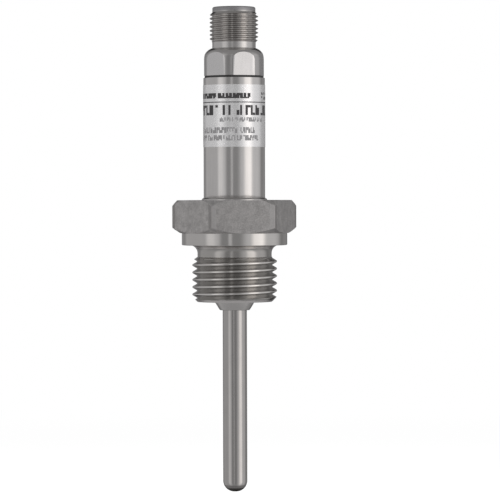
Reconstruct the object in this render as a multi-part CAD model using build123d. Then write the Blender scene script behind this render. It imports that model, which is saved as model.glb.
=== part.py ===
from build123d import *
import math
import os

# Screw-in temperature sensor with a round plug at the top and a thin probe at the bottom.
# Millimetres. +Z runs up along the axis, and zero is the face that seals on the process.
# The front is the -Y side. A turn is counted from the front towards +X, in degrees.

# Process fitting, one turned piece: hexagon, flange band, thread and weld collar
hexagon_width = 27.0
hexagon_height = 8.1
hexagon_turn = 39.6
hexagon_corner_trim = 0.02
hexagon_top_chamfer = 1.4
hexagon_top_slope = 45.0
hexagon_bottom_chamfer = 2.1
hexagon_bottom_slope = 33.0
flange_diameter = 26.1
flange_height = 3.0
flange_edge = 0.25
undercut_depth = 1.3
undercut_length = 2.9
undercut_fillet = 2.0
process_thread_diameter = 20.955
process_thread_length = 11.1
process_thread_lead_in = 0.9
process_thread_chamfer = 1.2
collar_root_wall = 2.0
collar_end_wall = 0.7
collar_length = 2.1
collar_edge = 0.2
foot_ring_width = 0.5
foot_ring_height = 0.45
foot_ring_slope_height = 0.4
fitting_chamber_depth = 11.1
fitting_spigot_height = 3.0
fitting_spigot_wall = 1.3

# Sleeve and the label round it
sleeve_diameter = 15.2
sleeve_wall = 0.8
sleeve_length = 30.2
label_height = 15.3
label_top_margin = 1.8
label_thickness = 0.08
label_seam = 12.0

# Connector housing: cap with wrench flats, neck, plug thread and pilot rim
seal_height = 0.45
seal_setback = 0.25
cap_setback = 0.05
cap_height = 7.0
cap_rounding = 3.0
cap_flats_depth = 0.55
cap_flats_turn = 20.3
cap_spigot_length = 5.0
cap_spigot_wall = 1.2
neck_depth = 0.625
neck_length = 1.35
plug_thread_diameter = 12.0
plug_thread_length = 7.4
rim_setback = 0.675
rim_height = 1.3
rim_rounding = 0.4
rim_wall = 1.025
socket_depth = 8.9

# Contact carrier, its seal and the four contacts
carrier_front_length = 2.0
carrier_body_length = 6.6
carrier_groove_depth = 1.0
carrier_groove_height = 1.4
carrier_groove_drop = 2.0
key_width = 1.2
key_depth = 0.8
key_top_gap = 1.5
key_turn = 0.0
contact_count = 4
contact_circle = 5.0
contact_diameter = 1.0
contact_top_gap = 1.5
contact_tip_chamfer = 0.3
contact_tail_diameter = 0.8
contact_tail_length = 2.4

# Probe tube with its closed tip, and the sleeving inside it
probe_diameter = 6.0
probe_wall = 0.5
probe_free_length = 45.0
probe_ledge_height = 3.0
probe_tip_flat = 0.2
probe_tip_wall = 1.0
sleeving_clearance = 0.1
sleeving_wall = 0.45
filling_cover = 1.5

# Measuring chip, its leads, the splices and the four wires
chip_width = 2.3
chip_length = 2.6
chip_thickness = 0.7
chip_tip_gap = 1.1
lead_diameter = 0.25
lead_length = 7.4
lead_count = 2
lead_pitch = 1.6
splice_width = 0.9
splice_length = 3.0
splice_overlap = 1.0
wire_diameter = 0.6
wire_pitch = 1.4
wire_fan_rise = 4.0
wire_end_straight = 6.5
wire_bend_radius = 6.0

# Heights that follow, from the seal face up
hexagon_bottom = flange_height
hexagon_top = hexagon_bottom + hexagon_height
spigot_top = hexagon_top + fitting_spigot_height
chamber_bottom = hexagon_top - fitting_chamber_depth
sleeve_top = hexagon_top + sleeve_length
label_top = sleeve_top - label_top_margin
label_bottom = label_top - label_height
cap_bottom = sleeve_top + seal_height
cap_top = cap_bottom + cap_height
cap_spigot_bottom = cap_bottom - cap_spigot_length
neck_top = cap_top + neck_length
plug_thread_top = neck_top + plug_thread_length
rim_top = plug_thread_top + rim_height
carrier_face = rim_top - socket_depth
carrier_step = carrier_face - carrier_front_length
carrier_bottom = carrier_step - carrier_body_length
contact_top = rim_top - contact_top_gap
tail_bottom = carrier_bottom - contact_tail_length
fan_bottom = spigot_top + wire_fan_rise
fan_top = tail_bottom - wire_end_straight

# Heights that follow, from the seal face down
process_thread_top = -undercut_length
process_thread_bottom = process_thread_top - process_thread_length
collar_bottom = process_thread_bottom - collar_length
probe_top = chamber_bottom - probe_ledge_height
tip_bottom = collar_bottom - probe_free_length
tip_floor = tip_bottom + probe_tip_wall
chip_bottom = tip_floor + chip_tip_gap
chip_top = chip_bottom + chip_length
lead_top = chip_top + lead_length
splice_bottom = lead_top - splice_overlap
splice_top = splice_bottom + splice_length
filling_top = splice_top + filling_cover

# Radii that mating pieces share
sleeve_radius = sleeve_diameter / 2
sleeve_bore = sleeve_radius - sleeve_wall
cap_radius = sleeve_radius - cap_setback
carrier_radius = sleeve_bore - cap_spigot_wall
chamber_radius = sleeve_bore - fitting_spigot_wall
plug_thread_radius = plug_thread_diameter / 2
rim_radius = plug_thread_radius - rim_setback
socket_radius = rim_radius - rim_wall
probe_radius = probe_diameter / 2
probe_bore = probe_radius - probe_wall
probe_tip_rounding = probe_radius - probe_tip_flat / 2
contact_turns = [key_turn + (n + 0.5) * 360 / contact_count for n in range(contact_count)]
wires_per_splice = math.ceil(contact_count / lead_count)
splice_depth = splice_width + (wires_per_splice - 1) * wire_pitch


def from_front(turn, radius, height=0.0):
    """Point at a turn from the front, counted towards +X."""
    angle = math.radians(turn)
    return Vector(radius * math.sin(angle), -radius * math.cos(angle), height)


def disc(radius, bottom, top):
    """Upright cylinder on the axis between two heights."""
    return Pos(0, 0, bottom) * Cylinder(
        radius, top - bottom, align=(Align.CENTER, Align.CENTER, Align.MIN)
    )


def turned(*lines):
    """Solid turned about the axis from a closed outline of radius and height."""
    return revolve(Plane.XZ * make_face(lines), Axis.Z)


def turned_corners(*corners):
    """Turned solid whose outline has straight sides only."""
    return turned(Polyline(*corners, close=True))


def rod(radius, x, y, bottom, top):
    """Upright round wire or pin beside the axis."""
    return Pos(x, y, 0) * disc(radius, bottom, top)


def hexagon(width, turn, bottom, top):
    """Hexagonal prism across flats, with one corner at the given turn."""
    outline = RegularPolygon(width / 2, 6, major_radius=False, rotation=turn - 90)
    return Pos(0, 0, bottom) * extrude(outline, top - bottom)


def make_hexagon_nut():
    """Wrench hexagon whose corners are turned off above and below."""
    corner = hexagon_width / 2 / math.cos(math.pi / 6) - hexagon_corner_trim
    upper_drop = hexagon_top_chamfer * math.tan(math.radians(hexagon_top_slope))
    lower_rise = hexagon_bottom_chamfer * math.tan(math.radians(hexagon_bottom_slope))
    blank = turned_corners(
        (0, hexagon_bottom),
        (corner - hexagon_bottom_chamfer, hexagon_bottom),
        (corner, hexagon_bottom + lower_rise),
        (corner, hexagon_top - upper_drop),
        (corner - hexagon_top_chamfer, hexagon_top),
        (0, hexagon_top),
    )
    return blank & hexagon(hexagon_width, hexagon_turn, hexagon_bottom, hexagon_top)


def make_threaded_shank():
    """Flange band, undercut, thread at its major size, and the weld collar below."""
    band = flange_diameter / 2
    crest = process_thread_diameter / 2
    groove = crest - undercut_depth
    end = crest - process_thread_chamfer
    collar_root = probe_radius + collar_root_wall
    collar_end = probe_radius + collar_end_wall
    fillet_start = (groove + undercut_fillet, 0)
    fillet_end = (groove, -undercut_fillet)
    above = Polyline(
        fillet_start,
        (band - flange_edge, 0),
        (band, flange_edge),
        (band, hexagon_bottom - flange_edge),
        (band - flange_edge, hexagon_bottom),
        (0, hexagon_bottom),
        (0, collar_bottom),
    )
    below = Polyline(
        (0, collar_bottom),
        (collar_end - collar_edge, collar_bottom),
        (collar_end, collar_bottom + collar_edge),
        (collar_root, process_thread_bottom),
        (end, process_thread_bottom),
        (crest, process_thread_bottom + process_thread_chamfer),
        (crest, process_thread_top - process_thread_lead_in),
        (groove, process_thread_top),
        fillet_end,
    )
    return turned(above, below, RadiusArc(fillet_end, fillet_start, undercut_fillet))


def make_process_fitting():
    """The whole fitting, bored for the probe tube and for the wires above it."""
    ring_outer = sleeve_radius + foot_ring_width
    ring_top = hexagon_top + foot_ring_height
    foot_ring = turned_corners(
        (sleeve_radius, hexagon_top),
        (ring_outer, hexagon_top),
        (ring_outer, ring_top),
        (sleeve_radius, ring_top + foot_ring_slope_height),
    )
    body = make_threaded_shank() + make_hexagon_nut()
    body += foot_ring + disc(sleeve_bore, hexagon_top, spigot_top)
    body -= disc(chamber_radius, chamber_bottom, spigot_top)
    body -= disc(probe_bore, probe_top, chamber_bottom)
    body -= disc(probe_radius, collar_bottom, probe_top)
    return body


def make_body_sleeve():
    """Plain tube that stands on the hexagon."""
    return disc(sleeve_radius, hexagon_top, sleeve_top) - disc(sleeve_bore, hexagon_top, sleeve_top)


def make_rating_label():
    """Foil wrapped round the sleeve, with its seam at the back."""
    outer = sleeve_radius + label_thickness
    strip = Polyline(
        (sleeve_radius, label_bottom),
        (outer, label_bottom),
        (outer, label_top),
        (sleeve_radius, label_top),
        close=True,
    )
    wrap = revolve(Plane.XZ * make_face(strip), Axis.Z, 360 - label_seam)
    return Rot(0, 0, 90 + label_seam / 2) * wrap


def make_housing_seal():
    """Ring pressed between the cap and the sleeve, seen as a dark line."""
    outer = cap_radius - seal_setback
    return disc(outer, sleeve_top, cap_bottom) - disc(sleeve_bore, sleeve_top, cap_bottom)


def make_cap():
    """Round-shouldered cap with six wrench flats."""
    across_flats = 2 * (cap_radius - cap_flats_depth)
    blank = disc(cap_radius, cap_bottom, cap_top)
    blank = fillet(blank.edges().group_by(Axis.Z)[-1], cap_rounding)
    return blank & hexagon(across_flats, cap_flats_turn + 30, cap_bottom, cap_top)


def make_plug_end():
    """Neck, plug thread at its major size, and the pilot rim above it."""
    neck = plug_thread_radius - neck_depth
    rim_side = (rim_radius, rim_top - rim_rounding)
    rim_face = (rim_radius - rim_rounding, rim_top)
    outline = Polyline(
        rim_face,
        (0, rim_top),
        (0, cap_bottom),
        (neck, cap_bottom),
        (neck, neck_top),
        (plug_thread_radius, neck_top + neck_depth),
        (plug_thread_radius, plug_thread_top - rim_setback),
        (rim_radius, plug_thread_top),
        rim_side,
    )
    return turned(outline, RadiusArc(rim_side, rim_face, -rim_rounding))


def make_connector_housing():
    """Cap, plug end and spigot in one piece, bored for the contact carrier."""
    body = make_cap() + make_plug_end() + disc(sleeve_bore, cap_spigot_bottom, cap_bottom)
    body -= disc(socket_radius, carrier_step, rim_top)
    body -= disc(carrier_radius, cap_spigot_bottom, carrier_step)
    return body


def make_contact_carrier():
    """Moulded insert that holds the contacts, with its key rib in the socket."""
    groove_top = carrier_step - carrier_groove_drop
    groove_bottom = groove_top - carrier_groove_height
    groove_radius = carrier_radius - carrier_groove_depth
    body = disc(socket_radius, carrier_step, carrier_face)
    body += disc(carrier_radius, carrier_bottom, carrier_step)
    body -= disc(carrier_radius, groove_bottom, groove_top) - disc(
        groove_radius, groove_bottom, groove_top
    )
    key_height = rim_top - key_top_gap - carrier_face
    key_box = Box(
        key_width, key_depth, key_height, align=(Align.CENTER, Align.MIN, Align.MIN)
    )
    key = Rot(0, 0, key_turn) * Pos(0, -socket_radius, carrier_face) * key_box
    body += key & disc(socket_radius, carrier_face, rim_top)
    for turn in contact_turns:
        spot = from_front(turn, contact_circle / 2)
        body -= rod(contact_diameter / 2, spot.X, spot.Y, carrier_bottom, carrier_face)
    return body


def make_carrier_ring():
    """Round ring that seals the carrier in the housing bore."""
    section = carrier_groove_depth / 2
    height = carrier_step - carrier_groove_drop - carrier_groove_height / 2
    return Pos(0, 0, height) * Torus(carrier_radius - section, section)


def make_contact(turn):
    """Turned contact with a chamfered tip and a thin solder tail."""
    spot = from_front(turn, contact_circle / 2)
    radius = contact_diameter / 2
    tail = contact_tail_diameter / 2
    outline = turned_corners(
        (0, tail_bottom),
        (tail, tail_bottom),
        (tail, carrier_bottom),
        (radius, carrier_bottom),
        (radius, contact_top - contact_tip_chamfer),
        (radius - contact_tip_chamfer, contact_top),
        (0, contact_top),
    )
    return Pos(spot.X, spot.Y, 0) * outline


def make_probe_tube():
    """Drawn tube with a closed, rounded tip."""
    body = disc(probe_radius, tip_bottom, probe_top)
    body = fillet(body.edges().group_by(Axis.Z)[0], probe_tip_rounding)
    return body - make_probe_inside(probe_top)


def make_probe_inside(top):
    """Room inside the tube from its rounded floor up to a height."""
    room = disc(probe_bore, tip_floor, top)
    return fillet(room.edges().group_by(Axis.Z)[0], probe_tip_rounding - probe_wall)


def make_insulating_tube():
    """Sleeving that keeps the wires off the probe tube."""
    outer = probe_bore - sleeving_clearance
    inner = outer - sleeving_wall
    return disc(outer, filling_top, probe_top) - disc(inner, filling_top, probe_top)


def make_sensor_chip():
    """Flat ceramic platelet that measures."""
    return Pos(0, 0, chip_bottom) * Box(
        chip_width, chip_thickness, chip_length, align=(Align.CENTER, Align.CENTER, Align.MIN)
    )


def lead_offset(number):
    """Sideways place of a chip lead and of the splice on it."""
    return ((lead_count - 1) / 2 - number) * lead_pitch


def make_chip_lead(number):
    """Drawn lead from the chip into its splice."""
    return rod(lead_diameter / 2, lead_offset(number), 0, chip_top, lead_top)


def make_lead_wire(number):
    """Wire from its splice up the probe, fanned out to the tail of its contact."""
    splice, place = divmod(number, wires_per_splice)
    x = lead_offset(splice)
    y = (place - (wires_per_splice - 1) / 2) * wire_pitch * (1 - 2 * (splice % 2))
    tail = from_front(contact_turns[number], contact_circle / 2)
    path = FilletPolyline(
        (x, y, splice_top - splice_overlap),
        (x, y, fan_bottom),
        (tail.X, tail.Y, fan_top),
        (tail.X, tail.Y, tail_bottom),
        radius=wire_bend_radius,
    )
    return sweep(Plane(path @ 0, z_dir=path % 0) * Circle(wire_diameter / 2), path)


def make_splice(number, held):
    """Crimped joint between one chip lead and its wires."""
    outline = SlotOverall(splice_depth, splice_width, rotation=90)
    return Pos(lead_offset(number), 0, splice_bottom) * extrude(outline, splice_length) - held


def make_potting(embedded):
    """Cast resin round the wires, from the probe tube up to the contact carrier."""
    body = disc(probe_bore, probe_top, chamber_bottom)
    body += disc(chamber_radius, chamber_bottom, spigot_top)
    body += disc(sleeve_bore, spigot_top, cap_spigot_bottom)
    body += disc(carrier_radius, cap_spigot_bottom, carrier_bottom)
    return body - embedded


pieces = {
    "process_fitting": make_process_fitting(),
    "body_sleeve": make_body_sleeve(),
    "rating_label": make_rating_label(),
    "housing_seal": make_housing_seal(),
    "connector_housing": make_connector_housing(),
    "contact_carrier": make_contact_carrier(),
    "carrier_o_ring": make_carrier_ring(),
    "probe_tube": make_probe_tube(),
    "insulating_tube": make_insulating_tube(),
    "sensor_chip": make_sensor_chip(),
}

for number, turn in enumerate(contact_turns):
    pieces[f"contact_pin_{number + 1}"] = make_contact(turn)
    pieces[f"lead_wire_{number + 1}"] = make_lead_wire(number)

wires = [piece for name, piece in pieces.items() if name.startswith("lead_wire")]
contacts = [piece for name, piece in pieces.items() if name.startswith("contact_pin")]
in_tip = [pieces["sensor_chip"], *wires]

for number in range(lead_count):
    lead = make_chip_lead(number)
    splice = make_splice(number, [lead, *wires])
    pieces[f"chip_lead_{number + 1}"] = lead
    pieces[f"splice_{number + 1}"] = splice
    in_tip += [lead, splice]

pieces["tip_filling"] = make_probe_inside(filling_top) - in_tip
pieces["potting_compound"] = make_potting(wires + contacts)

os.makedirs("parts", exist_ok=True)
for name, piece in pieces.items():
    export_step(piece, f"parts/{name}.step")
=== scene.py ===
# %% [markdown]
# # A screw-in temperature sensor
# The solids of the sensor arrive as a fixed frame: 24 pieces, already in their places.
# This lesson gives them the surface that solids alone don't show. It cuts both threads,
# rounds the edges, prints the label and gives each metal its own finish.
# Nothing is moved. A new piece is built where its solid stands, and then hides that solid.

# %% Load the frame
import math

import bmesh
import bpy
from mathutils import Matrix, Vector


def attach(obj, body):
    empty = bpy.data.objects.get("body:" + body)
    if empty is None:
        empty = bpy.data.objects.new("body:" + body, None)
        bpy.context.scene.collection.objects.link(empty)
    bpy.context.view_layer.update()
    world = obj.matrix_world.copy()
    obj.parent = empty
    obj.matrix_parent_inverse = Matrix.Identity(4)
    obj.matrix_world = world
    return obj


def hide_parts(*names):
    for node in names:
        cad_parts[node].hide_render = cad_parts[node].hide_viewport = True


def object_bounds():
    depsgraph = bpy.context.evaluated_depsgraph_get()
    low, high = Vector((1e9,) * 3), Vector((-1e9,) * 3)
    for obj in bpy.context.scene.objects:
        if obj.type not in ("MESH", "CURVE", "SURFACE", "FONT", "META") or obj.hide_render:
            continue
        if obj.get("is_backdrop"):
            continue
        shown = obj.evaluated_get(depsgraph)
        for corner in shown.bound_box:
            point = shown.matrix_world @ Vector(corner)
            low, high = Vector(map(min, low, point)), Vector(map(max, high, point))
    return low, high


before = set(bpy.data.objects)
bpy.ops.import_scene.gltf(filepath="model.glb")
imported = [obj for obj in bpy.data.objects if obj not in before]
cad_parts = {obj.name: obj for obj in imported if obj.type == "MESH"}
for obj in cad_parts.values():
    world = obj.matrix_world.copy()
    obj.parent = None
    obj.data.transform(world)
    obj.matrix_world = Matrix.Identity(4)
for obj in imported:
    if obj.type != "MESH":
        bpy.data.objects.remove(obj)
cad_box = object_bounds()
mm = 0.001
weld_distance = 2e-7
print("solids in the frame:", len(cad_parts))

# %% [markdown]
# # The camera
# A product portrait is taken from far off with a long lens, so that the threads stay flat
# and parallel. The four standard sizes on the sensor give the scale of the picture, and the
# way the rings bend above and below eye level gives the distance. The lens then follows
# from both. The camera stands a little above the flange and looks slightly down, with the
# roll of a hand-set tripod.

# %% Stand the camera
picture_width = 500
pixels_per_mm = 4.04
camera_distance = 700.0
camera_side = 3.86
camera_height = 14.0
camera_aim = -1.25
camera_roll = 0.165

camera_data = bpy.data.cameras.new("portrait_camera")
camera_data.sensor_width = 36.0
camera_data.lens = pixels_per_mm * camera_distance * camera_data.sensor_width / picture_width
camera = bpy.data.objects.new("portrait_camera", camera_data)
camera.location = (camera_side * mm, -camera_distance * mm, camera_height * mm)
camera_tilt = math.degrees(math.atan2(camera_height - camera_aim, camera_distance))
camera.rotation_euler = (math.radians(90 - camera_tilt), math.radians(camera_roll), 0)
bpy.context.scene.collection.objects.link(camera)
bpy.context.scene.camera = camera
bpy.context.scene.view_settings.view_transform = "Standard"
print(f"lens {camera_data.lens:.1f} mm")

# %% [markdown]
# # Helpers for node trees
# Every material, the room and the Geometry Nodes below are trees of nodes. Written out
# link by link they are long and hard to read. One helper adds a node, fills its sockets
# and joins the ones that are given another node's output. Another does sums, and a third
# carries a value from one range into another.

# %% Node helpers


def add_node(tree, kind, sockets=None, **settings):
    """A node whose sockets are filled with values, or linked where a socket is given."""
    node = tree.nodes.new(kind)
    for key, value in settings.items():
        setattr(node, key, value)
    for key, value in (sockets or {}).items():
        if isinstance(value, bpy.types.NodeSocket):
            tree.links.new(value, node.inputs[key])
        else:
            node.inputs[key].default_value = value
    return node


def calc(tree, operation, *values):
    """The result of one sum, as a socket."""
    return add_node(tree, "ShaderNodeMath", dict(enumerate(values)), operation=operation).outputs[0]


def spread(tree, value, low, high, new_low, new_high, curve="LINEAR"):
    """A value carried from one range into another, and held at its ends."""
    return add_node(tree, "ShaderNodeMapRange", {
        "Value": value, "From Min": low, "From Max": high, "To Min": new_low, "To Max": new_high,
    }, interpolation_type=curve).outputs[0]


# %% [markdown]
# # The room
# Bright metal shows its surroundings more than itself, so the room is part of the finish.
# The background is white for the camera and in gloss. The object is lit by three soft
# lamps and a weak, even sky, at a level where a colour renders about as it is written.

# %% White background and soft lamps
white = (1.0, 1.0, 1.0, 1.0)
sky_strength = 0.45

world = bpy.data.worlds.new("studio_air")
world.use_nodes = True
world.node_tree.nodes.clear()
bpy.context.scene.world = world


def seen_directly(tree):
    """One where the ray comes from the camera, from gloss or through glass, and zero elsewhere."""
    path = add_node(tree, "ShaderNodeLightPath")
    seen = calc(tree, "MAXIMUM", path.outputs["Is Camera Ray"], path.outputs["Is Glossy Ray"])
    return calc(tree, "MAXIMUM", seen, path.outputs["Is Transmission Ray"])


tree = world.node_tree
sky = add_node(tree, "ShaderNodeBackground", {"Color": white, "Strength": sky_strength})
backdrop = add_node(tree, "ShaderNodeBackground", {"Color": white, "Strength": 1.0})
mixed = add_node(tree, "ShaderNodeMixShader", {
    0: seen_directly(tree), 1: sky.outputs[0], 2: backdrop.outputs[0]})
add_node(tree, "ShaderNodeOutputWorld", {"Surface": mixed.outputs[0]})


def add_lamp(name, place, aim, size, power):
    """A square soft lamp that lights matt surfaces; gloss sees the cards instead."""
    data = bpy.data.lights.new(name, "AREA")
    data.size = size * mm
    data.energy = power
    lamp = bpy.data.objects.new(name, data)
    lamp.location = Vector(place) * mm
    lamp.rotation_mode = "QUATERNION"
    lamp.rotation_quaternion = (Vector(aim) - Vector(place)).to_track_quat("-Z", "Y")
    lamp.visible_glossy = False
    bpy.context.scene.collection.objects.link(lamp)


middle = (0, 0, 0)
add_lamp("key_lamp", (420, -380, 260), middle, 300, 2.2)
add_lamp("fill_lamp", (-460, -330, 120), middle, 340, 1.2)
add_lamp("top_lamp", (-60, 60, 620), middle, 420, 1.6)

# %% [markdown]
# # The floor
# The sensor can't stand by itself, so it is shown hanging a little above a pale floor. The
# floor keeps its soft shadow. For the camera it also glows a little, so that it runs into
# the white background without an edge.

# %% Pale floor
floor_drop = 76.0
floor_reach = 2500.0
floor_sides = 96
floor_glow = 0.32
fade_start, fade_end = 120.0, 450.0

floor_mesh = bpy.data.meshes.new("floor")
angles = [math.tau * k / floor_sides for k in range(floor_sides)]
ring = [Vector((math.cos(angle), math.sin(angle), 0)) * floor_reach * mm for angle in angles]
drop = Vector((0, 0, floor_drop * mm))
floor_mesh.from_pydata([spot - drop for spot in ring], [], [range(floor_sides)])
floor = bpy.data.objects.new("floor", floor_mesh)
bpy.context.scene.collection.objects.link(floor)
floor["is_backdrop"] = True
floor.visible_glossy = False

paper = bpy.data.materials.new("pale_floor")
paper.use_nodes = True
tree = paper.node_tree
tree.nodes.clear()
place = add_node(tree, "ShaderNodeTexCoord").outputs["Object"]
across = add_node(tree, "ShaderNodeVectorMath", {0: place}, operation="LENGTH").outputs["Value"]
far_off = spread(tree, across, fade_start * mm, fade_end * mm, 0.0, 1.0, "SMOOTHSTEP")
matt = add_node(tree, "ShaderNodeBsdfDiffuse", {"Color": (0.8, 0.8, 0.8, 1.0)})
near_seen = calc(tree, "MULTIPLY", seen_directly(tree), floor_glow)
near = add_node(tree, "ShaderNodeEmission", {"Strength": near_seen})
lit = add_node(tree, "ShaderNodeAddShader", {0: matt.outputs[0], 1: near.outputs[0]})
far = add_node(tree, "ShaderNodeEmission", {"Strength": 1.0})
far_seen = calc(tree, "MULTIPLY", seen_directly(tree), far_off)
floor_mix = add_node(tree, "ShaderNodeMixShader", {
    0: far_seen, 1: lit.outputs[0], 2: far.outputs[0]})
add_node(tree, "ShaderNodeOutputMaterial", {"Surface": floor_mix.outputs[0]})
floor_mesh.materials.append(paper)

# %% [markdown]
# # Cards for the gloss
# In a white room alone, steel looks like paper. A photographer stands grey and white cards
# round the piece, and each card becomes an upright band in the metal. Here the cards are
# one dome that only gloss can see. Its brightness is a short list of cards: the direction
# of the card as a turn from the front, its half width, how soft its edge is, and how much
# light it adds to the grey of the room. High up and low down the cards end in an even grey,
# and behind the piece there is little light above and below. The brightest card, the key
# softbox, is a little warmer than the rest.

# %% Hang the cards
room_grey = 0.30
cards = (
    ("left wall", -88, 38, 14, 0.20),
    ("left softbox", -47, 10, 12, 0.31),
    ("thin strip", -9, 2.0, 3.5, 0.27),
    ("key glow", 45, 12, 24, 0.35),
    ("key softbox", 54, 8, 13, 0.53),
    ("right wall", 86, 8, 40, 0.36),
    ("dark edge", 122, 3, 9, -0.08),
    ("dark back", 173, 12, 12, -0.11),
)
card_rise, card_rise_softness = 20, 45
below_share = 1.25
behind_turn, behind_rise, behind_softness = 142, 12, 14
behind_top, behind_top_softness = 68, 15
behind_share = 0.12
cool_light, warm_light = (1.0, 0.985, 0.990, 1.0), (1.0, 0.962, 0.942, 1.0)
warm_start, warm_end = 0.65, 1.10


def soft_step(value):
    """Zero below zero, one above one, and smooth between."""
    value = min(1.0, max(0.0, value))
    return value * value * (3 - 2 * value)


def card_light(turn, rise):
    """Brightness of the dome in a direction: a turn from the front and a height angle."""
    light = room_grey
    for _, centre, half_width, softness, strength in cards:
        away = abs((turn - centre + 180) % 360 - 180)
        light += strength * (1 - soft_step((away - half_width) / softness))
    steep = soft_step((abs(rise) - card_rise) / card_rise_softness)
    even = room_grey if rise > 0 else room_grey * below_share
    behind = soft_step((abs(turn) - behind_turn) / behind_softness)
    behind *= soft_step((abs(rise) - behind_rise) / behind_softness)
    behind *= 1 - soft_step((abs(rise) - behind_top) / behind_top_softness)
    return (light + (even - light) * steep) * (1 + (behind_share - 1) * behind)


dome_radius = 700.0
dome_rise_step = 3
dome = bmesh.new()
glow = dome.verts.layers.float.new("glow")
rows = []
for rise in range(-90, 91, dome_rise_step):
    row = []
    for turn in range(-180, 180):
        angle, tilt = math.radians(turn), math.radians(rise)
        flat = math.cos(tilt)
        spot = Vector((math.sin(angle) * flat, -math.cos(angle) * flat, math.sin(tilt)))
        vert = dome.verts.new(spot * dome_radius * mm)
        vert[glow] = card_light(turn, rise)
        row.append(vert)
    rows.append(row)
for lower, upper in zip(rows, rows[1:]):
    for k in range(len(lower)):
        dome.faces.new((lower[k], lower[k - 1], upper[k - 1], upper[k]))
bmesh.ops.remove_doubles(dome, verts=dome.verts, dist=weld_distance)
dome_mesh = bpy.data.meshes.new("gloss_cards")
dome.to_mesh(dome_mesh)
dome.free()
gloss_cards = bpy.data.objects.new("gloss_cards", dome_mesh)
bpy.context.scene.collection.objects.link(gloss_cards)
gloss_cards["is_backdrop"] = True
for ray in ("camera", "diffuse", "transmission", "volume_scatter", "shadow"):
    setattr(gloss_cards, "visible_" + ray, False)

card_paint = bpy.data.materials.new("card_light")
card_paint.use_nodes = True
tree = card_paint.node_tree
tree.nodes.clear()
painted = add_node(tree, "ShaderNodeAttribute", attribute_name="glow").outputs["Fac"]
warm_share = spread(tree, painted, warm_start, warm_end, 0.0, 1.0)
tint = add_node(tree, "ShaderNodeMix", {
    0: warm_share, 6: cool_light, 7: warm_light}, data_type="RGBA").outputs[2]
shine = add_node(tree, "ShaderNodeEmission", {"Color": tint, "Strength": painted})
add_node(tree, "ShaderNodeOutputMaterial", {"Surface": shine.outputs[0]})
card_paint.cycles.emission_sampling = "NONE"
dome_mesh.materials.append(card_paint)
print("cards:", len(cards))

# %% [markdown]
# # Finishes
# Real finishes differ less in colour than in the marks that the tool left. A lathe leaves
# fine rings, drawing leaves streaks along the tube, and blasting leaves an even grain. One
# helper makes them all from the object's own coordinates: fine marks of a given size and
# broad clouds over them, which vary colour, roughness and the tiny relief.

# %% Finish helper
finishes = {}
fine_share = 0.65
noise_low, noise_high = 0.36, 0.64
drawn_stretch = 0.03


def finish(name, colour, rough, size, marks="grain", metal=1.0, tone=0.12, relief=0.0, cloud=3.0):
    """Makes a material with marks of a size in mm: grain, turned rings or drawn streaks.

    rough is the roughness of the light and of the dark marks, tone how much darker the dark
    ones are, relief their depth in mm and cloud the size in mm of the broad changes.
    """
    material = bpy.data.materials.new(name)
    material.use_nodes = True
    tree = material.node_tree
    shader = tree.nodes["Principled BSDF"]
    place = add_node(tree, "ShaderNodeTexCoord").outputs["Object"]
    if marks == "turned":
        parts = add_node(tree, "ShaderNodeSeparateXYZ", {0: place}).outputs
        squares = [calc(tree, "POWER", part, 2.0) for part in parts[:2]]
        radius = calc(tree, "SQRT", calc(tree, "ADD", *squares))
        place_marks = add_node(tree, "ShaderNodeCombineXYZ", {0: radius, 2: parts[2]}).outputs[0]
    else:
        scale = (1, 1, drawn_stretch if marks == "drawn" else 1)
        place_marks = add_node(tree, "ShaderNodeMapping", {0: place, "Scale": scale}).outputs[0]
    fine = add_node(tree, "ShaderNodeTexNoise", {
        "Vector": place_marks, "Scale": 1 / (size * mm), "Detail": 3.0,
        "Roughness": 0.6}).outputs[0]
    broad = add_node(tree, "ShaderNodeTexNoise", {
        "Vector": place, "Scale": 1 / (cloud * mm), "Detail": 2.0}).outputs[0]
    blend = calc(tree, "ADD", calc(tree, "MULTIPLY", fine, fine_share),
                 calc(tree, "MULTIPLY", broad, 1 - fine_share))
    share = spread(tree, blend, noise_low, noise_high, 0.0, 1.0)
    dark = tuple(channel * (1 - tone) for channel in colour)
    mixed = add_node(tree, "ShaderNodeMix", {
        0: share, 6: (*dark, 1.0), 7: (*colour, 1.0)}, data_type="RGBA").outputs[2]
    tree.links.new(mixed, shader.inputs["Base Color"])
    roughness = spread(tree, blend, noise_low, noise_high, rough[1], rough[0])
    tree.links.new(roughness, shader.inputs["Roughness"])
    shader.inputs["Metallic"].default_value = metal
    if relief:
        bump = add_node(tree, "ShaderNodeBump", {
            "Strength": 1.0, "Distance": relief * mm, "Height": fine})
        tree.links.new(bump.outputs[0], shader.inputs["Normal"])
    finishes[name] = material


# %% Finishes of the outside
finish("polished_sleeve", (0.67, 0.66, 0.65), (0.10, 0.17), 0.25, "drawn", tone=0.06, relief=0.0006)
finish("turned_steel", (0.63, 0.62, 0.61), (0.16, 0.26), 0.12, "turned", tone=0.08, relief=0.0010)
finish("thread_steel", (0.51, 0.50, 0.485), (0.08, 0.16), 0.10, "turned", tone=0.10, relief=0.0003)
# The crest finish is lighter than the thread's: a painted highlight along the crest.
finish("thread_crest_highlight", (0.76, 0.745, 0.73), (0.10, 0.18), 0.10, "turned", tone=0.06)
finish("fine_thread_steel", (0.54, 0.525, 0.51), (0.08, 0.16), 0.10, "turned", tone=0.10,
       relief=0.0003)
finish("milled_flats", (0.735, 0.73, 0.73), (0.20, 0.30), 0.15, "drawn", tone=0.05, relief=0.0006)
# A darker copy of the turned steel for the cap's side between the flats: painted shade.
finish("cap_side_painted_shade", (0.52, 0.515, 0.51), (0.16, 0.26), 0.12, "turned", tone=0.08, relief=0.0010)
finish("turned_flange", (0.62, 0.61, 0.595), (0.07, 0.13), 0.12, "turned", tone=0.07, relief=0.0005)
finish("undercut_steel", (0.49, 0.48, 0.465), (0.12, 0.20), 0.12, "turned", tone=0.08,
       relief=0.0006)
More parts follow.
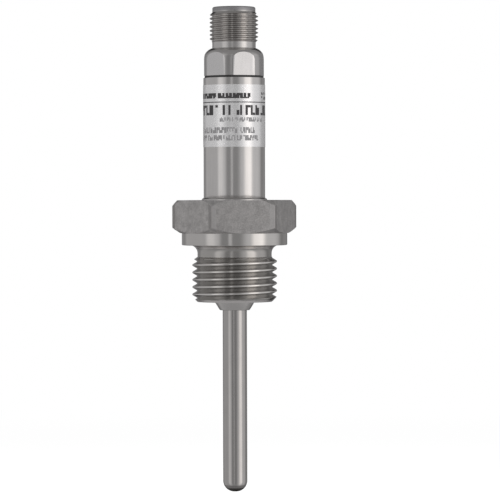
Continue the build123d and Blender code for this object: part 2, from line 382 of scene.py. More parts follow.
finish("dull_rim", (0.40, 0.40, 0.41), (0.50, 0.62), 0.20, "turned", tone=0.05)
# A lighter steel for the root under the flange and the thread's lower chamfer: painted light
# against their shade.
finish("undercut_root", (0.80, 0.78, 0.77), (0.25, 0.35), 0.12, "turned", tone=0.05)
finish("rim_side", (0.46, 0.455, 0.45), (0.28, 0.38), 0.12, "turned", tone=0.05)
finish("blasted_hexagon", (0.52, 0.507, 0.500), (0.28, 0.40), 0.28, metal=0.85, tone=0.40,
       relief=0.006, cloud=1.5)
# Darker and lighter margins beside the hexagon's corners: painted shade and painted highlight of
# rounded edges.
finish("margin_painted_shade", (0.35, 0.34, 0.335), (0.34, 0.46), 0.28, metal=0.88, tone=0.25, relief=0.004)
finish("margin_painted_highlight", (0.50, 0.49, 0.485), (0.30, 0.40), 0.28, metal=0.88, tone=0.20,
       relief=0.004)
# The hexagon's narrow corner faces in a finish of their own: a painted highlight line.
finish("hexagon_edge_highlight", (0.45, 0.44, 0.435), (0.28, 0.40), 0.20, tone=0.15)
finish("ground_tube", (0.51, 0.50, 0.49), (0.12, 0.20), 0.20, "drawn", tone=0.08, relief=0.0006)
finish("tip_shoulder", (0.33, 0.32, 0.315), (0.25, 0.35), 0.12, "turned", tone=0.12, relief=0.0006)
finish("ground_tip", (0.12, 0.115, 0.11), (0.35, 0.45), 0.12, "turned", tone=0.15, relief=0.0015)
finish("label_foil", (0.85, 0.85, 0.855), (0.25, 0.31), 0.30, metal=0.84, tone=0.015)
finish("label_ink", (0.035, 0.033, 0.035), (0.45, 0.60), 0.15, metal=0.0, tone=0.25)
finish("pale_ink", (0.25, 0.245, 0.25), (0.45, 0.60), 0.15, metal=0.0, tone=0.25)
finish("seal_rubber", (0.030, 0.030, 0.030), (0.55, 0.75), 0.20, metal=0.0, tone=0.30, relief=0.004)
finish("carrier_plastic", (0.030, 0.030, 0.033), (0.38, 0.50), 0.15, metal=0.0, tone=0.20,
       relief=0.003)
finish("contact_gold", (0.83, 0.62, 0.27), (0.14, 0.24), 0.08, "turned", tone=0.08, relief=0.0005)
print("outside finishes:", ", ".join(finishes))

# %% [markdown]
# # Turning on the computer
# Most pieces here come off a lathe. Their outline is a short list of corners, each with a
# radius and a height, a rounding and the name of the finish from that corner on. The list
# is closed, so the piece has its bore and its real wall. A piece with flats gives another
# outline for each turn, with the same number of corners, and the faces join them up.

# %% Outline helpers
around = 180
step_angle = 360 / around
sliver = 1e-8


def arc(centre, radius, start, end, steps, paint):
    """Corners along a round part of an outline; angles count from outward towards up."""
    corners = []
    for k in range(steps + 1):
        angle = math.radians(start + (end - start) * k / steps)
        spot = (centre[0] + radius * math.cos(angle), centre[1] + radius * math.sin(angle))
        corners.append((*spot, 0, paint))
    return corners


def soften(corners):
    """The outline with each corner that asks for it rounded off."""
    outline = []
    neighbours = zip(corners[-1:] + corners[:-1], corners, corners[1:] + corners[:1])
    for before, here, after in neighbours:
        spot, rounding, paint = Vector(here[:2]), here[2], here[3]
        if not rounding:
            outline.append((spot.x, spot.y, paint))
            continue
        back, ahead = Vector(before[:2]) - spot, Vector(after[:2]) - spot
        start = spot + back.normalized() * min(rounding, back.length / 3)
        end = spot + ahead.normalized() * min(rounding, ahead.length / 3)
        for share in (0, 1 / 3, 2 / 3, 1):
            point = start * (1 - share) ** 2 + spot * 2 * share * (1 - share) + end * share ** 2
            outline.append((point.x, point.y, paint))
    return outline


def turn_shell(outlines, turns, names, closed=True):
    """Shell through one outline per turn, painted as the first outline says.

    turns gives the turn of each outline, or a list with the turn of each of its points.
    Strips painted None stay open for a thread.
    """
    shell = bmesh.new()
    columns = []
    for outline, turn in zip(outlines, turns):
        columns.append([])
        for j, (radius, height, _) in enumerate(outline):
            angle = math.radians(turn[j] if isinstance(turn, list) else turn)
            spot = Vector((radius * math.sin(angle), -radius * math.cos(angle), height)) * mm
            columns[-1].append(shell.verts.new(spot))
    paints = [paint for _, _, paint in outlines[0]]
    pairs = list(zip(columns, columns[1:])) + ([(columns[-1], columns[0])] if closed else [])
    for here, there in pairs:
        for j, paint in enumerate(paints):
            if paint is not None:
                after = (j + 1) % len(paints)
                face = shell.faces.new((here[j], there[j], there[after], here[after]))
                face.material_index = names.index(paint)
    if not closed:
        for end in (columns[0], columns[-1]):
            shell.faces.new(end).material_index = 0
    return shell


def weld(shell, name, names, sharp=30):
    """The shell as one closed, outward-facing mesh object that rides on the body."""
    bmesh.ops.remove_doubles(shell, verts=shell.verts, dist=weld_distance)
    bmesh.ops.dissolve_degenerate(shell, edges=shell.edges, dist=sliver)
    bmesh.ops.recalc_face_normals(shell, faces=shell.faces)
    open_edges = sum(not edge.is_manifold for edge in shell.edges)
    for face in shell.faces:
        face.smooth = True
    mesh = bpy.data.meshes.new(name)
    shell.to_mesh(mesh)
    shell.free()
    mesh.set_sharp_from_angle(angle=math.radians(sharp))
    for paint in names:
        mesh.materials.append(finishes[paint])
    piece = bpy.data.objects.new(name, mesh)
    bpy.context.scene.collection.objects.link(piece)
    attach(piece, "root")
    triangles = sum(len(face.vertices) - 2 for face in mesh.polygons)
    print(f"{name}: {triangles} triangles, open edges {open_edges}")
    return piece


def turned_piece(name, corners, names, sharp=30):
    """A piece that is the same all round."""
    turns = [k * step_angle for k in range(around)]
    return weld(turn_shell([soften(corners)] * around, turns, names), name, names, sharp)


# %% [markdown]
# # One tree for both threads
# A thread is a ridge that climbs one pitch with each turn. It is cut, never modelled by
# hand, because every flank follows one rule, and that makes it a job for Geometry Nodes.
# A flat grid is rolled up, and each of its rows is sheared along the helix, so the crest
# runs along an edge of the mesh and stays crisp. Cones at both ends hold the ridge down to
# the plain diameter beside it. There the grid closes into a true circle, and it can be
# welded to the turned body without a gap. The crest may be painted lighter than the
# flanks, in a finish of its own: a painted highlight along the crest.

# %% The thread tree
rows_per_pitch = 16
phase_nudge = 1e-4


def start_tree(name, sockets):
    """A Geometry Nodes tree with named inputs, and each input's identifier."""
    tree = bpy.data.node_groups.new(name, "GeometryNodeTree")
    identifiers = {}
    for title, kind in sockets.items():
        socket = tree.interface.new_socket(title, in_out="INPUT", socket_type=kind)
        identifiers[title] = socket.identifier
    tree.interface.new_socket("Geometry", in_out="OUTPUT", socket_type="NodeSocketGeometry")
    return tree, add_node(tree, "NodeGroupInput").outputs, identifiers


def point_place(tree):
    """X, Y and Z of each point, as sockets."""
    place = add_node(tree, "GeometryNodeInputPosition").outputs[0]
    return add_node(tree, "ShaderNodeSeparateXYZ", {0: place}).outputs


def move_points(tree, geometry, **places):
    """The geometry with its points at a Position, or carried by an Offset."""
    sockets = {"Geometry": geometry, **places}
    return add_node(tree, "GeometryNodeSetPosition", sockets).outputs[0]


def end_tree(tree, geometry, material):
    """The tree's last nodes: real instances, one material, and the way out."""
    real = add_node(tree, "GeometryNodeRealizeInstances", {0: geometry}).outputs[0]
    painted = add_node(tree, "GeometryNodeSetMaterial", {0: real, "Material": material}).outputs[0]
    add_node(tree, "NodeGroupOutput", {0: painted})


def grow(name, tree, identifiers, values):
    """Mesh that a tree makes from its named inputs."""
    holder = bpy.data.objects.new(name, bpy.data.meshes.new(name))
    bpy.context.scene.collection.objects.link(holder)
    modifier = holder.modifiers.new(name, "NODES")
    modifier.node_group = tree
    for title, value in values.items():
        modifier[identifiers[title]] = value
    ready = holder.evaluated_get(bpy.context.evaluated_depsgraph_get())
    mesh = bpy.data.meshes.new_from_object(ready)
    holder.modifiers.remove(modifier)
    bpy.data.objects.remove(holder)
    return mesh


thread_tree, given, thread_sockets = start_tree("thread_ridge", {
    "Columns": "NodeSocketInt",
    "Rows": "NodeSocketInt",
    "Turns": "NodeSocketFloat",
    "Start Angle": "NodeSocketFloat",
    "Pitch": "NodeSocketFloat",
    "Crest Radius": "NodeSocketFloat",
    "Depth": "NodeSocketFloat",
    "Crest Flat": "NodeSocketFloat",
    "Root Flat": "NodeSocketFloat",
    "Roundness": "NodeSocketFloat",
    "Bottom": "NodeSocketFloat",
    "Bottom Radius": "NodeSocketFloat",
    "Bottom Run": "NodeSocketFloat",
    "Top": "NodeSocketFloat",
    "Top Radius": "NodeSocketFloat",
    "Top Run": "NodeSocketFloat",
    "Material": "NodeSocketMaterial",
})
tree = thread_tree
grid = add_node(tree, "GeometryNodeMeshGrid", {
    "Size X": 1.0, "Size Y": 1.0, "Vertices X": given["Columns"],
    "Vertices Y": given["Rows"]}).outputs[0]
spot = point_place(tree)
turn = calc(tree, "ADD", spot[0], 0.5)
climb = calc(tree, "MULTIPLY", calc(tree, "ADD", spot[1], 0.5), given["Turns"])
pitches = calc(tree, "SUBTRACT", calc(tree, "ADD", climb, turn), 1.0)
free_rise = calc(tree, "MULTIPLY", pitches, given["Pitch"])
height = calc(tree, "MINIMUM", calc(tree, "ADD", free_rise, given["Bottom"]), given["Top"])
height = calc(tree, "MAXIMUM", height, given["Bottom"])
phase = calc(tree, "FRACT", calc(tree, "ADD", climb, phase_nudge))
from_crest = calc(tree, "MULTIPLY", calc(tree, "ABSOLUTE", calc(tree, "SUBTRACT", phase, 0.5)), 2.0)
root_start = calc(tree, "SUBTRACT", 1.0, given["Root Flat"])
straight = spread(tree, from_crest, given["Crest Flat"], root_start, 0.0, 1.0)
rounded = spread(tree, from_crest, given["Crest Flat"], root_start, 0.0, 1.0, "SMOOTHSTEP")
bend = calc(tree, "MULTIPLY", calc(tree, "SUBTRACT", rounded, straight), given["Roundness"])
cut = calc(tree, "MULTIPLY", calc(tree, "ADD", straight, bend), given["Depth"])
ridge = calc(tree, "SUBTRACT", given["Crest Radius"], cut)
low_end = calc(tree, "ADD", given["Bottom"], given["Bottom Run"])
low_cone = spread(
    tree, height, given["Bottom"], low_end, given["Bottom Radius"], given["Crest Radius"])
high_end = calc(tree, "SUBTRACT", given["Top"], given["Top Run"])
high_cone = spread(
    tree, height, high_end, given["Top"], given["Crest Radius"], given["Top Radius"])
radius = calc(tree, "MINIMUM", ridge, calc(tree, "MINIMUM", low_cone, high_cone))
angle = calc(tree, "ADD", calc(tree, "MULTIPLY", turn, math.tau), given["Start Angle"])
rolled = add_node(tree, "ShaderNodeCombineXYZ", {
    0: calc(tree, "MULTIPLY", radius, calc(tree, "COSINE", angle)),
    1: calc(tree, "MULTIPLY", radius, calc(tree, "SINE", angle)),
    2: height}).outputs[0]
moved = move_points(tree, grid, Position=rolled)
merged = add_node(tree, "GeometryNodeMergeByDistance", {
    "Geometry": moved, "Distance": weld_distance}).outputs[0]
end_tree(tree, merged, given["Material"])


def cut_thread(name, finish_name, seam_turn, pitch, bottom, top, **sizes):
    """Thread between two heights in mm.

    Its seam has to lie on one of the turns of the shell that the thread is welded to.
    """
    turns = math.ceil((top - bottom) / pitch + 1)
    values = {title.replace("_", " ").title(): size * mm for title, size in sizes.items()}
    for share in ("Crest Flat", "Root Flat", "Roundness"):
        values[share] /= mm
    values.update({
        "Columns": around + 1, "Rows": turns * rows_per_pitch + 1, "Turns": float(turns),
        "Start Angle": math.radians(seam_turn - 90), "Pitch": pitch * mm,
        "Bottom": bottom * mm, "Top": top * mm, "Material": finishes[finish_name]})
    mesh = grow(name, thread_tree, thread_sockets, values)
    print(f"{name}: {turns} turns of {pitch} mm, {len(mesh.polygons)} faces")
    return mesh


def add_thread(shell, mesh, paint, crest_highlight_paint, highlight_start):
    """Puts a cut thread into the gap of a shell, with its crest in a paint of its own: a painted
    highlight where that paint is lighter.
    """
    before = len(shell.faces)
    shell.from_mesh(mesh)
    shell.faces.ensure_lookup_table()
    for face in shell.faces[before:]:
        on_highlight = face.calc_center_median().xy.length / mm > highlight_start
        face.material_index = crest_highlight_paint if on_highlight else paint


# %% [markdown]
# # The connector housing
# The plug end is one turned piece: a cap whose round shoulder runs out into six wrench
# flats, a neck, the M12 thread and the pilot rim round the socket. The flats are cut across
# the shoulder, so each turn has its own outline. On a flat the outline climbs straight up
# to where it meets the shoulder, and from there it follows the round. That gives the
# curved top edge of each flat without a boolean cut. The flats are milled after turning
# and are lighter than turned steel. The strips of turned side between them, below the
# shoulder, are painted darker than the turned steel above: painted shade.

# %% Connector housing
cap_radius = 7.55
cap_flat = 7.0
cap_bottom, cap_top = 41.75, 48.75
cap_rounding = 3.0
cap_shade_top = 46.5
cap_flats_turn = 20.3
shoulder_steps, rim_steps = 14, 5
neck_radius = 5.375
neck_top = 50.1
plug_pitch = 1.0
plug_crest = 6.0
plug_thread_top = 57.5
rim_radius = 5.325
rim_top = 58.8
rim_rounding = 0.4
rim_side_height = 0.35
socket_radius = 4.3
carrier_step = 47.9
carrier_radius = 5.6
sleeve_bore = 6.8
cap_spigot_bottom = 36.75
flat_step = 60
flat_tolerance = 0.02
housing_first_turn = 0.3
plug_seam_turn = housing_first_turn + 72 * step_angle
housing_paints = [
    "turned_steel", "milled_flats", "fine_thread_steel", "dull_rim", "rim_side", "cap_side_painted_shade"]


def to_flat(turn, flats_turn):
    """Turn from the middle of the nearest of six flats, from -30 to 30 degrees."""
    return (turn - flats_turn + flat_step / 2) % flat_step - flat_step / 2


def turn_of(spot):
    """Turn of a point from the front, in degrees."""
    return math.degrees(math.atan2(spot.x, -spot.y))


def lies_on_flat(spot, flats_turn, flat):
    """Whether a point lies on one of six flats at a distance from the axis."""
    away = math.radians(to_flat(turn_of(spot), flats_turn))
    return abs(spot.xy.length * math.cos(away) - flat) < flat_tolerance


def housing_outline(turn):
    """Closed outline of the housing at one turn."""
    away = to_flat(turn, cap_flats_turn)
    reach = min(cap_radius, cap_flat / math.cos(math.radians(away)))
    shoulder = (cap_radius - cap_rounding, cap_top - cap_rounding)
    start = math.degrees(math.acos((reach - shoulder[0]) / cap_rounding))
    end = math.degrees(math.acos((neck_radius - shoulder[0]) / cap_rounding))
    corners = [
        (carrier_radius, cap_spigot_bottom, 0.08, "turned_steel"),
        (sleeve_bore, cap_spigot_bottom, 0.08, "turned_steel"),
        (sleeve_bore, cap_bottom, 0, "turned_steel"),
        (reach, cap_bottom, 0.10, "milled_flats"),
    ]
    corners += arc(shoulder, cap_rounding, start, end, shoulder_steps, "turned_steel")
    corners += [
        (neck_radius, neck_top, 0, None),
        (rim_radius, plug_thread_top, 0, "rim_side"),
        (rim_radius, plug_thread_top + rim_side_height, 0, "dull_rim"),
    ]
    rim_centre = (rim_radius - rim_rounding, rim_top - rim_rounding)
    corners += arc(rim_centre, rim_rounding, 0, 90, rim_steps, "dull_rim")
    corners += [
        (socket_radius, rim_top, 0.10, "turned_steel"),
        (socket_radius, carrier_step, 0, "turned_steel"),
        (carrier_radius, carrier_step, 0, "turned_steel"),
    ]
    return soften(corners)


housing_turns = [housing_first_turn + k * step_angle for k in range(around)]
housing_outlines = [housing_outline(turn) for turn in housing_turns]
shell = turn_shell(housing_outlines, housing_turns, housing_paints)
# Milled flats, and below the shoulder the turned strips between them painted darker as painted
# shade.
for face in shell.faces:
    spot = face.calc_center_median() / mm
    if lies_on_flat(spot, cap_flats_turn, cap_flat) and cap_bottom < spot.z < cap_top:
        face.material_index = housing_paints.index("milled_flats")
    elif cap_bottom < spot.z < cap_shade_top and spot.xy.length > cap_flat:
        face.material_index = housing_paints.index("cap_side_painted_shade")
plug_thread = cut_thread(
    "plug_thread", "fine_thread_steel", plug_seam_turn, plug_pitch, neck_top, plug_thread_top,
    crest_radius=plug_crest, depth=0.613, crest_flat=0.14, root_flat=0.20, roundness=0.35,
    bottom_radius=neck_radius, bottom_run=0.625, top_radius=rim_radius, top_run=0.675)
plain = housing_paints.index("fine_thread_steel")
add_thread(shell, plug_thread, plain, plain, plug_crest)
housing = weld(shell, "connector_housing_dressed", housing_paints, sharp=24)
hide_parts("connector_housing")

# %% [markdown]
# # Sleeve and seal ring
# The sleeve is a plain polished tube between the cap and the hexagon. The black line under
# the cap is a thin rubber ring, set back a little from both.

# %% Sleeve and seal ring
sleeve_radius = 7.6
sleeve_bottom, sleeve_top = 11.1, 41.3
sleeve = turned_piece("body_sleeve_dressed", [
    (sleeve_bore, sleeve_bottom, 0.05, "polished_sleeve"),
    (sleeve_radius, sleeve_bottom, 0.05, "polished_sleeve"),
    (sleeve_radius, sleeve_top, 0.12, "polished_sleeve"),
    (sleeve_bore, sleeve_top, 0.05, "polished_sleeve"),
], ["polished_sleeve"])
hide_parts("body_sleeve")

seal_radius = 7.3
seal = turned_piece("housing_seal_dressed", [
    (sleeve_bore, sleeve_top, 0, "seal_rubber"),
    (seal_radius, sleeve_top, 0.12, "seal_rubber"),
    (seal_radius, cap_bottom, 0.12, "seal_rubber"),
    (sleeve_bore, cap_bottom, 0, "seal_rubber"),
], ["seal_rubber"])
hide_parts("housing_seal")

# %% [markdown]
# # The label
# The label is a strip of satin foil, wrapped round the sleeve with its seam at the back.
# Its ends don't meet, so it is the one turned piece with an open ring, and both ends are
# closed like the edges of real foil.

# %% Foil label
label_radius = 7.68
label_bottom, label_top = 24.2, 39.5
label_seam = 12.0
label_corners = soften([
    (sleeve_radius, label_bottom, 0, "label_foil"),
    (label_radius, label_bottom, 0.02, "label_foil"),
    (label_radius, label_top, 0.02, "label_foil"),
    (sleeve_radius, label_top, 0, "label_foil"),
])
half_wrap = 180 - label_seam / 2
label_turns = [-half_wrap + 2 * half_wrap * k / around for k in range(around + 1)]
shell = turn_shell([label_corners] * len(label_turns), label_turns, ["label_foil"], closed=False)
label = weld(shell, "rating_label_dressed", ["label_foil"])
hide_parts("rating_label")

# %% [markdown]
# # Print on the label
# A real label carries rows of print. Here the rows are plain bars and blocks of the same
# height, place and weight, which say nothing. Each row is one run of the same tree: points
# on a line, some of them dropped by chance, a small box on each with a width of its own,
# and then the whole line bent round the label. The seed is fixed, so every run is the same.

# %% Print tree
ink_depth = 0.02
brick_columns = 5
height_steps = 4.0
print_tree, given, print_sockets = start_tree("label_print", {
    "Marks": "NodeSocketInt",
    "Start": "NodeSocketFloat",
    "Spacing": "NodeSocketFloat",
    "Middle": "NodeSocketFloat",
    "Row Height": "NodeSocketFloat",
    "Slim": "NodeSocketFloat",
    "Wide": "NodeSocketFloat",
    "Low": "NodeSocketFloat",
    "Kept": "NodeSocketFloat",
    "Seed": "NodeSocketInt",
    "Radius": "NodeSocketFloat",
    "Thickness": "NodeSocketFloat",
    "Material": "NodeSocketMaterial",
})
tree = print_tree
first = add_node(tree, "ShaderNodeCombineXYZ", {0: given["Start"], 2: given["Middle"]}).outputs[0]
stride = add_node(tree, "ShaderNodeCombineXYZ", {0: given["Spacing"]}).outputs[0]
line = add_node(tree, "GeometryNodeMeshLine", {
    "Count": given["Marks"], "Start Location": first, "Offset": stride}).outputs[0]


def by_chance(low, high, seed_shift):
    """A chance number for each mark, the same at every run."""
    seed = calc(tree, "ADD", given["Seed"], float(seed_shift))
    return add_node(tree, "FunctionNodeRandomValue", {
        2: low, 3: high, "Seed": seed}, data_type="FLOAT").outputs[1]


dropped = calc(tree, "GREATER_THAN", by_chance(0.0, 1.0, 0), given["Kept"])
kept = add_node(tree, "GeometryNodeDeleteGeometry", {
    0: line, 1: dropped}, domain="POINT").outputs[0]
steps = calc(tree, "ROUND", calc(tree, "MULTIPLY", by_chance(given["Low"], 1.0, 40), height_steps))
tallness = calc(tree, "MINIMUM", calc(tree, "MULTIPLY", steps, 1 / height_steps), 1.0)
side = calc(tree, "SUBTRACT", calc(tree, "ROUND", by_chance(0.0, 1.0, 80)), 0.5)
lift = calc(tree, "MULTIPLY", calc(tree, "SUBTRACT", 1.0, tallness), side)
lift = calc(tree, "MULTIPLY", lift, given["Row Height"])
lifted = move_points(
    tree, kept, Offset=add_node(tree, "ShaderNodeCombineXYZ", {2: lift}).outputs[0])
brick = add_node(tree, "GeometryNodeMeshCube", {
    "Size": (1.0, 1.0, 1.0), "Vertices X": brick_columns}).outputs[0]
width = calc(tree, "MULTIPLY", by_chance(given["Slim"], given["Wide"], 120), given["Spacing"])
tall = calc(tree, "MULTIPLY", tallness, given["Row Height"])
size = add_node(tree, "ShaderNodeCombineXYZ", {0: width, 1: given["Thickness"], 2: tall}).outputs[0]
marks = add_node(tree, "GeometryNodeInstanceOnPoints", {
    "Points": lifted, "Instance": brick, "Scale": size}).outputs[0]
flat_print = add_node(tree, "GeometryNodeRealizeInstances", {0: marks}).outputs[0]
spot = point_place(tree)
radius = calc(tree, "SUBTRACT", given["Radius"], spot[1])
angle = calc(tree, "DIVIDE", spot[0], given["Radius"])
bent = add_node(tree, "ShaderNodeCombineXYZ", {
    0: calc(tree, "MULTIPLY", radius, calc(tree, "SINE", angle)),
    1: calc(tree, "MULTIPLY", calc(tree, "MULTIPLY", radius, calc(tree, "COSINE", angle)), -1.0),
    2: spot[2]}).outputs[0]
end_tree(tree, move_points(tree, flat_print, Position=bent), given["Material"])

# %% Print the rows
# Each row: name, height of its middle, row height, turn of its start and of its end, how
# many marks, slimmest and widest as shares of the spacing, lowest as a share of the row
# height, share that is kept, seed
print_rows = (
    ("bold row", 36.72, 1.3, -80, 34, 17, 0.50, 0.90, 0.9, 0.95, 3),
    ("bold row ends", 36.72, 1.3, -77, 37, 17, 0.35, 0.55, 0.2, 0.90, 5),
    ("large strokes left", 33.2, 2.45, -82, -28, 5, 0.34, 0.48, 1.0, 0.95, 7),
    ("large blocks left", 33.2, 2.45, -77, -23, 5, 0.45, 0.60, 0.2, 0.90, 12),
    ("large strokes", 33.2, 2.45, -19, 88, 10, 0.32, 0.46, 1.0, 0.85, 9),
    ("large blocks", 33.2, 2.45, -14, 93, 10, 0.45, 0.60, 0.2, 0.85, 14),
    ("small row", 30.88, 1.05, -26, 66, 20, 0.38, 0.60, 0.6, 0.90, 21),
    ("small row ends", 30.88, 1.05, -24, 68, 20, 0.45, 0.70, 0.2, 0.70, 24),
    ("light row", 28.28, 1.45, -78, 43, 24, 0.34, 0.50, 0.8, 0.88, 30),
    ("light row ends", 28.28, 1.45, -76, 45, 24, 0.50, 0.80, 0.2, 0.75, 33),
    ("last row", 26.4, 1.3, -80, 52, 26, 0.38, 0.55, 0.8, 0.90, 41),
    ("last row ends", 26.4, 1.3, -78, 54, 26, 0.50, 0.80, 0.2, 0.80, 44),
    ("side block top", 37.3, 0.65, 62, 150, 18, 0.45, 0.80, 0.6, 0.90, 52),
    ("side block bottom", 36.25, 0.75, 62, 150, 18, 0.45, 0.80, 0.6, 0.90, 63),
)
pale_rows = ("small", "light", "last")
ink = bmesh.new()
for title, row_middle, row_height, start, end, count, slim, wide, low, keep, seed in print_rows:
    length = math.radians(end - start) * label_radius
    before = len(ink.faces)
    ink.from_mesh(grow(title, print_tree, print_sockets, {
        "Marks": count, "Start": math.radians(start) * label_radius * mm,
        "Spacing": length / count * mm, "Middle": row_middle * mm, "Row Height": row_height * mm,
        "Slim": slim, "Wide": wide, "Low": low, "Kept": keep, "Seed": seed,
        "Radius": label_radius * mm, "Thickness": ink_depth * mm,
        "Material": finishes["label_ink"]}))
    ink.faces.ensure_lookup_table()
    for face in ink.faces[before:]:
        face.material_index = int(title.startswith(pale_rows))
print_piece = weld(ink, "label_print", ["label_ink", "pale_ink"])
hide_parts("rating_label")

rule_height = 35.15
rule_width = 0.22
rule_margin = 4
rule_corners = soften([
    (label_radius + side * ink_depth / 2, rule_height + up * rule_width / 2, 0, "label_ink")
    for side, up in ((-1, -1), (1, -1), (1, 1), (-1, 1))])
rule_turns = [turn * (half_wrap - rule_margin) / half_wrap for turn in label_turns]
shell = turn_shell([rule_corners] * len(rule_turns), rule_turns, ["label_ink"], closed=False)
rule = weld(shell, "label_rule", ["label_ink"])
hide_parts("rating_label")

# %% [markdown]
# # The process fitting
# The wrench hexagon, the flange band, the undercut, the G 1/2 thread and the weld collar
# are one turned piece from hexagon bar. Two cones turn its corners off above and below,
# and where a cone meets a side it leaves the curved edge that every nut has. The outline
# of each turn asks how far out the hexagon reaches there and lets both cones cut it. Near
# a corner of the hexagon its turns are pulled together, which leaves a narrow edge that
# is painted as a highlight line. The margins beside the corners are painted darker on one
# side and lighter on the next: painted shade and painted highlight of rounded edges. The
# upper part of the undercut's rounded root and the thread's lower chamfer are painted in a
# lighter steel: painted light against the shade there.

# %% Process fitting
hexagon_flat = 13.5
hexagon_corner = 15.5685
hexagon_flats_turn = 9.6
hexagon_bottom, hexagon_top = 3.0, 11.1
upper_cone_start, upper_cone_slope = 14.1685, 1.0
lower_cone_start, lower_cone_slope = 13.4685, math.tan(math.radians(33))
corner_start, corner_edge = 27, 29.65
painted_margin_start = 26.0
edge_highlight_reach = upper_cone_start + 0.5
flange_radius = 13.05
flange_step = 0.3
undercut_radius = 9.1775
undercut_fillet = 2.0
# The upper part of the rounded root, under the flange, is painted lighter: painted light against
# its shade.
undercut_arcs = (  # start, end, steps and finish of each part
    (180, 148, 4, "undercut_steel"), (140, 90, 6, "undercut_root"))
undercut_bottom = -2.9
process_pitch = 1.814
process_crest = 10.4775
crest_highlight_band = 0.16
process_thread_bottom = -14.0
process_end_radius = 9.2775
thread_chamfer_top = process_thread_bottom + 0.55
collar_root, collar_end, collar_bottom = 5.0, 3.7, -16.1
foot_ring_radius, foot_ring_height, foot_slope_height = 8.1, 0.25, 0.60
spigot_top = 14.1
wide_bore, narrow_bore, bore_step = 5.5, 2.5, 0.0
probe_seat, probe_top = 2.9, -3.0
fitting_first_turn = 1.3
process_seam_turn = fitting_first_turn + 45 * step_angle
fitting_paints = [
    "turned_steel", "blasted_hexagon", "thread_steel", "turned_flange", "undercut_steel",
    "undercut_root", "hexagon_edge_highlight", "thread_crest_highlight", "margin_painted_shade", "margin_painted_highlight"]


def fitting_outline(turn):
    """Closed outline of the fitting at one turn, and the turn of each of its points."""
    from_flat = to_flat(turn, hexagon_flats_turn)
    near_corner = abs(from_flat) > corner_start
    away = math.copysign(corner_edge, from_flat) if near_corner else from_flat
    reach = min(hexagon_corner, hexagon_flat / math.cos(math.radians(away)))
    low_reach, high_reach = min(reach, lower_cone_start), min(reach, upper_cone_start)
    low = hexagon_bottom + max(0, reach - lower_cone_start) * lower_cone_slope
    high = hexagon_top - max(0, reach - upper_cone_start) * upper_cone_slope
    # corners as (radius, height, rounding)
    bore = (
        (wide_bore, spigot_top, 0.08), (wide_bore, bore_step, 0), (narrow_bore, bore_step, 0),
        (narrow_bore, probe_top, 0), (probe_seat, probe_top, 0), (probe_seat, collar_bottom, 0),
        (collar_end, collar_bottom, 0.18), (collar_root, process_thread_bottom, 0))
    hexagon = (
        (low_reach - flange_step, hexagon_bottom, 0), (low_reach, hexagon_bottom, 0),
        (reach, low, 0.12), (reach, high, 0.12), (high_reach, hexagon_top, 0.06))
    spigot = (
        (foot_ring_radius, hexagon_top, 0),
        (foot_ring_radius, hexagon_top + foot_ring_height, 0.12),
        (sleeve_radius, hexagon_top + foot_slope_height, 0), (sleeve_radius, hexagon_top, 0),
        (sleeve_bore, hexagon_top, 0), (sleeve_bore, spigot_top, 0.08))
    corners = [(*corner, "turned_steel") for corner in bore]
    corners += [(process_end_radius, process_thread_bottom, 0, None),
                (undercut_radius, undercut_bottom, 0, "undercut_steel")]
    centre = (undercut_radius + undercut_fillet, -undercut_fillet)
    for start, end, steps, paint in undercut_arcs:
        corners += arc(centre, undercut_fillet, start, end, steps, paint)
    corners += [(flange_radius, 0, 0.22, "turned_flange"),
                (flange_radius, hexagon_bottom, 0.18, "turned_flange")]
    corners += [(*corner, "blasted_hexagon") for corner in hexagon]
    corners += [(*corner, "turned_steel") for corner in spigot]
    outline = soften(corners)
    pulled = turn + (away - from_flat)
    turns = [pulled if height <= hexagon_top and paint == "blasted_hexagon" else turn
             for _, height, paint in outline]
    return outline, turns


fitting_turns = [fitting_first_turn + k * step_angle for k in range(around)]
outlines, point_turns = zip(*(fitting_outline(turn) for turn in fitting_turns))
shell = turn_shell(outlines, point_turns, fitting_paints)
# Corner faces get a painted highlight line. The margins beside the corners get painted shade on one
# side and a painted highlight on the next.
for face in shell.faces:
    spot = face.calc_center_median() / mm
    away = to_flat(turn_of(spot), hexagon_flats_turn)
    side = round((turn_of(spot) - away - hexagon_flats_turn) / flat_step)
    on_side = lies_on_flat(spot, hexagon_flats_turn, hexagon_flat)
    if abs(away) > corner_edge and spot.xy.length > edge_highlight_reach:
        face.material_index = fitting_paints.index("hexagon_edge_highlight")
    elif on_side and abs(away) > painted_margin_start and hexagon_bottom < spot.z < hexagon_top:
        face.material_index = fitting_paints.index("margin_painted_shade" if side % 2 else "margin_painted_highlight")
process_thread = cut_thread(
    "process_thread", "thread_steel", process_seam_turn, process_pitch, process_thread_bottom,
    undercut_bottom,
    crest_radius=process_crest, depth=1.162, crest_flat=0.15, root_flat=0.03, roundness=0.35,
    bottom_radius=process_end_radius, bottom_run=1.2, top_radius=undercut_radius, top_run=0.9)
# Crest faces of the G thread get the lighter finish: a painted highlight.
add_thread(shell, process_thread, fitting_paints.index("thread_steel"),
           fitting_paints.index("thread_crest_highlight"), process_crest - crest_highlight_band)
# The thread's lower chamfer is painted in the lighter steel: painted light.
for face in shell.faces:
    spot = face.calc_center_median() / mm
    in_chamfer = process_thread_bottom < spot.z < thread_chamfer_top
    if in_chamfer and spot.xy.length > process_end_radius:
        face.material_index = fitting_paints.index("undercut_root")
fitting = weld(shell, "process_fitting_dressed", fitting_paints, sharp=24)
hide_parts("process_fitting")

# %% [markdown]
# # The probe tube
# The tube that goes into the process is drawn steel with a closed, rounded tip. The tip is
# ground after it is closed, which leaves it duller and darker than the tube, with a band
# between the two.

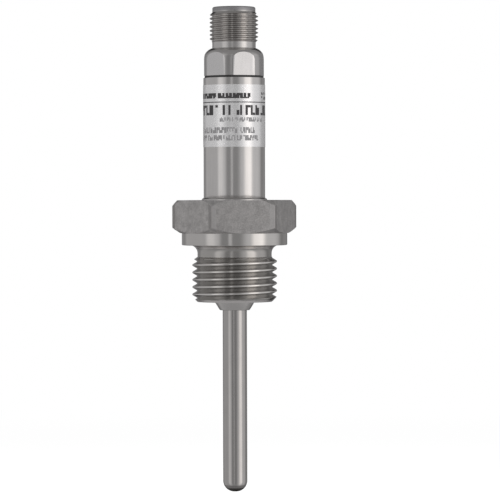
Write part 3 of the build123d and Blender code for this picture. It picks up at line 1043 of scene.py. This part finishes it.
# %% Probe tube
probe_radius, probe_bore = 3.0, 2.5
tip_bottom, tip_floor = -61.1, -60.1
tip_rounding, inner_rounding = 2.7, 2.4
tip_lead, inner_lead = 0.4, 0.2
inner_steps = 10
tip_arcs = (  # start, end, steps and finish of each part
    (-90, -46, 8, "ground_tip"), (-40, -26, 3, "tip_shoulder"), (-22, 0, 5, "ground_tube"))
inner_centre = (probe_bore - inner_rounding, tip_floor + inner_rounding)
tip_centre = (probe_radius - tip_rounding, tip_bottom + tip_rounding)
tube_corners = [
    (probe_bore, probe_top, 0, "ground_tube"),
    (probe_bore, inner_centre[1] + inner_lead, 0, "ground_tube"),
]
tube_corners += arc(inner_centre, inner_rounding, 0, -90, inner_steps, "ground_tube")
tube_corners += [(0.0, tip_floor, 0, None), (0.0, tip_bottom, 0, "ground_tip")]
for start, end, steps, paint in tip_arcs:
    tube_corners += arc(tip_centre, tip_rounding, start, end, steps, paint)
tube_corners += [
    (probe_radius, tip_centre[1] + tip_lead, 0, "ground_tube"),
    (probe_radius, collar_bottom, 0, "ground_tube"),
    (probe_seat, collar_bottom, 0, "ground_tube"),
    (probe_seat, probe_top, 0, "ground_tube"),
]
probe = turned_piece(
    "probe_tube_dressed", tube_corners, ["ground_tube", "ground_tip", "tip_shoulder"])
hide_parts("probe_tube")

# %% [markdown]
# # Materials for the pieces that stay
# The carrier, the contacts and everything sealed inside keep their solids, because their
# shape is right. A solid still needs a finish of its own: each one is given its material
# through its slots, and its mesh isn't touched.

# %% Inner finishes
finish("sleeving", (0.86, 0.86, 0.83), (0.25, 0.35), 0.30, metal=0.0, tone=0.06, relief=0.002)
finish("chip_ceramic", (0.86, 0.85, 0.81), (0.35, 0.55), 0.10, metal=0.0, tone=0.08, relief=0.003)
finish("lead_metal", (0.74, 0.73, 0.71), (0.18, 0.30), 0.08, "drawn", tone=0.08)
finish("splice_metal", (0.66, 0.64, 0.60), (0.25, 0.38), 0.12, tone=0.12, relief=0.002)
finish("wire_insulation", (0.80, 0.79, 0.74), (0.30, 0.42), 0.20, metal=0.0, tone=0.06,
       relief=0.001)
finish("packed_powder", (0.78, 0.76, 0.71), (0.75, 0.92), 0.12, metal=0.0, tone=0.18, relief=0.02)
finish("cast_resin", (0.050, 0.050, 0.056), (0.30, 0.45), 0.40, metal=0.0, tone=0.25, relief=0.004)
node_finishes = {
    "contact_carrier": "carrier_plastic", "contact_pin": "contact_gold",
    "carrier_o_ring": "seal_rubber", "insulating_tube": "sleeving", "sensor_chip": "chip_ceramic",
    "chip_lead": "lead_metal", "splice": "splice_metal", "lead_wire": "wire_insulation",
    "tip_filling": "packed_powder", "potting_compound": "cast_resin"}
dressed = 0
for name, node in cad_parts.items():
    for start, paint in node_finishes.items():
        if name.startswith(start):
            node.data.materials.clear()
            node.data.materials.append(finishes[paint])
            dressed += 1
print("solids with a finish of their own:", dressed)

# %% [markdown]
# # Measure and finish
# The dressed model has to keep the size of the solids, so both boxes are written down.

# %% Measure and finish
seen_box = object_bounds()
for label_text, (low, high) in (("solids", cad_box), ("dressed", seen_box)):
    print(label_text, "box in mm:", [round((b - a) / mm, 2) for a, b in zip(low, high)])
